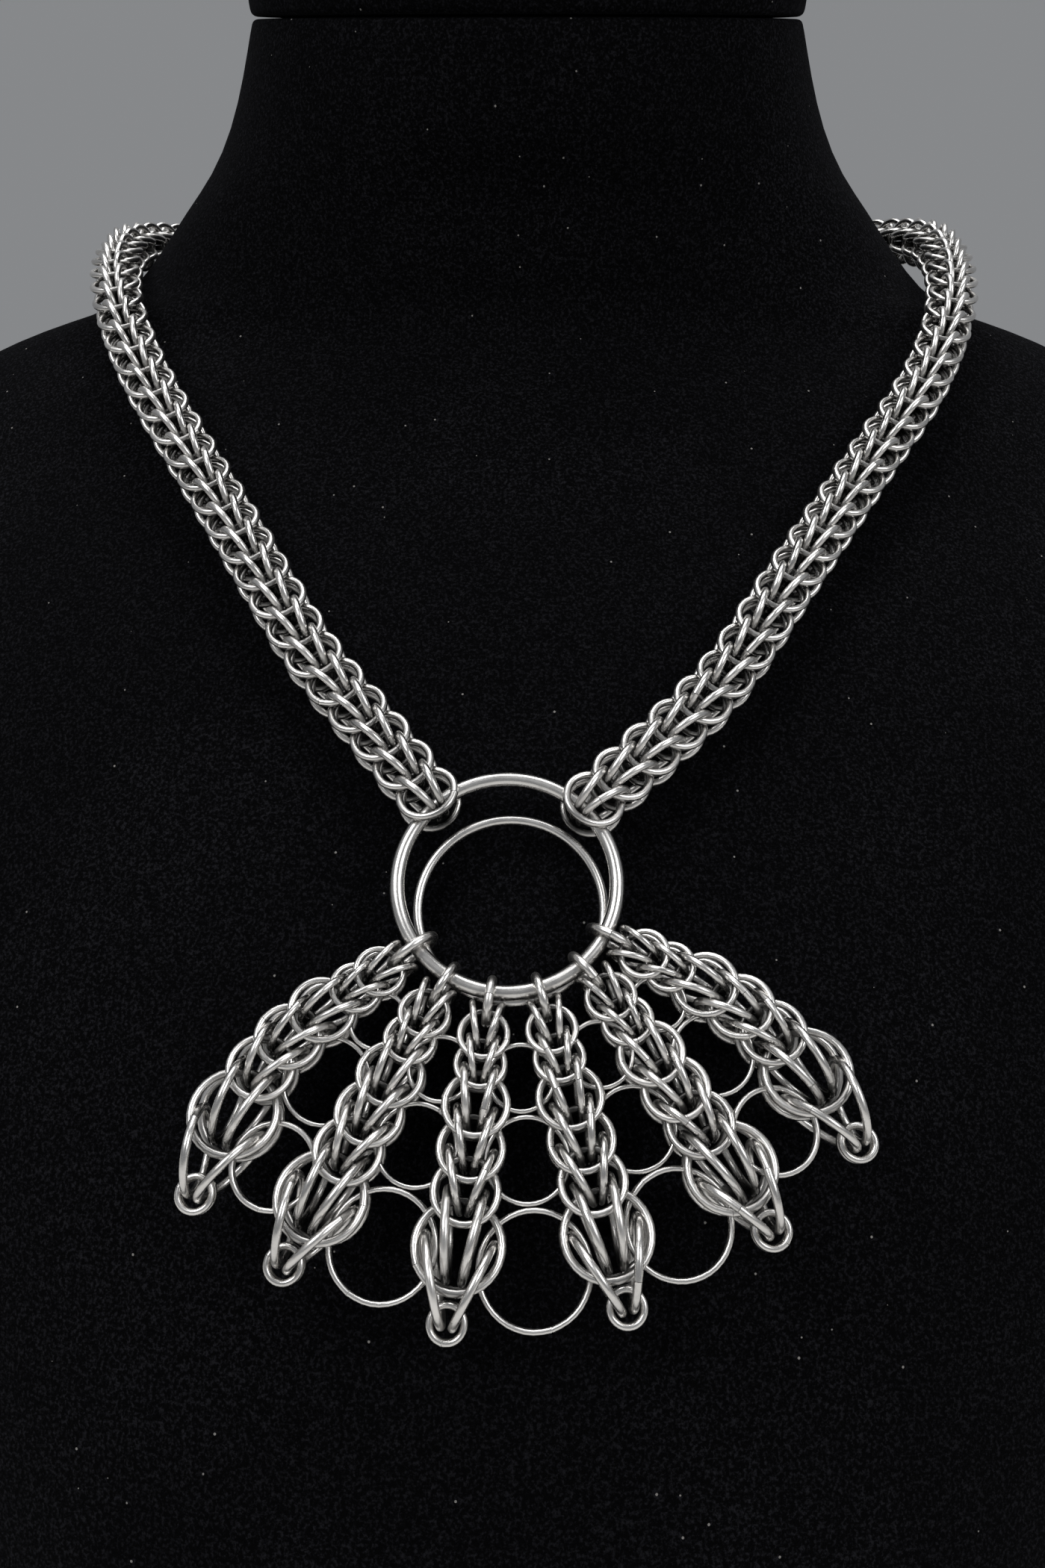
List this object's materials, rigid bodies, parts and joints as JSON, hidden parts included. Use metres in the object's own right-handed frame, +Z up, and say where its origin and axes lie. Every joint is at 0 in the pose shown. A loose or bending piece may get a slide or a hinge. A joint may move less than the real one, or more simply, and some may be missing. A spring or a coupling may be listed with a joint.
{
  "type": "chainmail necklace on a neck bust",
  "caption": "Chainmail necklace: two wire rings carry a fan of graduated chain strands, on a plain velvet neck and chest form.",
  "frame": {"origin": "middle of the bust's flat underside in X, on the table plane, straight below the throat hollow", "axes": "+Z up, -Y to the front where the necklace hangs, +X to the viewer's right"},
  "size_m": [0.2904, 0.2076, 0.3885],
  "materials": {
    "velvet": "black velvet",
    "big_ring_steel": "satin, drawn wire",
    "chainmail_steel": "satin, drawn wire",
    "neck_chain_steel": "satin, drawn wire"
  },
  "bodies": {
    "root": {"bust": "velvet", "neck_cap": "velvet", "outer_ring": "big_ring_steel", "inner_ring": "big_ring_steel", "connector_1": "chainmail_steel", "strand_1": "chainmail_steel", "connector_2": "chainmail_steel", "strand_2": "chainmail_steel", "connector_3": "chainmail_steel", "strand_3": "chainmail_steel", "connector_4": "chainmail_steel", "strand_4": "chainmail_steel", "connector_5": "chainmail_steel", "strand_5": "chainmail_steel", "connector_6": "chainmail_steel", "strand_6": "chainmail_steel", "link_top_1_back": "chainmail_steel", "link_top_1_front": "chainmail_steel", "link_middle_1_back": "chainmail_steel", "link_middle_1_front": "chainmail_steel", "link_foot_1_back": "chainmail_steel", "link_foot_1_front": "chainmail_steel", "link_top_2_back": "chainmail_steel", "link_top_2_front": "chainmail_steel", "link_middle_2_back": "chainmail_steel", "link_middle_2_front": "chainmail_steel", "link_foot_2_back": "chainmail_steel", "link_foot_2_front": "chainmail_steel", "link_top_3_back": "chainmail_steel", "link_top_3_front": "chainmail_steel", "link_middle_3_back": "chainmail_steel", "link_middle_3_front": "chainmail_steel", "link_foot_3_back": "chainmail_steel", "link_foot_3_front": "chainmail_steel", "link_top_4_back": "chainmail_steel", "link_top_4_front": "chainmail_steel", "link_middle_4_back": "chainmail_steel", "link_middle_4_front": "chainmail_steel", "link_foot_4_back": "chainmail_steel", "link_foot_4_front": "chainmail_steel", "link_top_5_back": "chainmail_steel", "link_top_5_front": "chainmail_steel", "link_middle_5_back": "chainmail_steel", "link_middle_5_front": "chainmail_steel", "link_foot_5_back": "chainmail_steel", "link_foot_5_front": "chainmail_steel", "neck_chain_left": "neck_chain_steel", "neck_chain_right": "neck_chain_steel"}
  },
  "joints": []
}
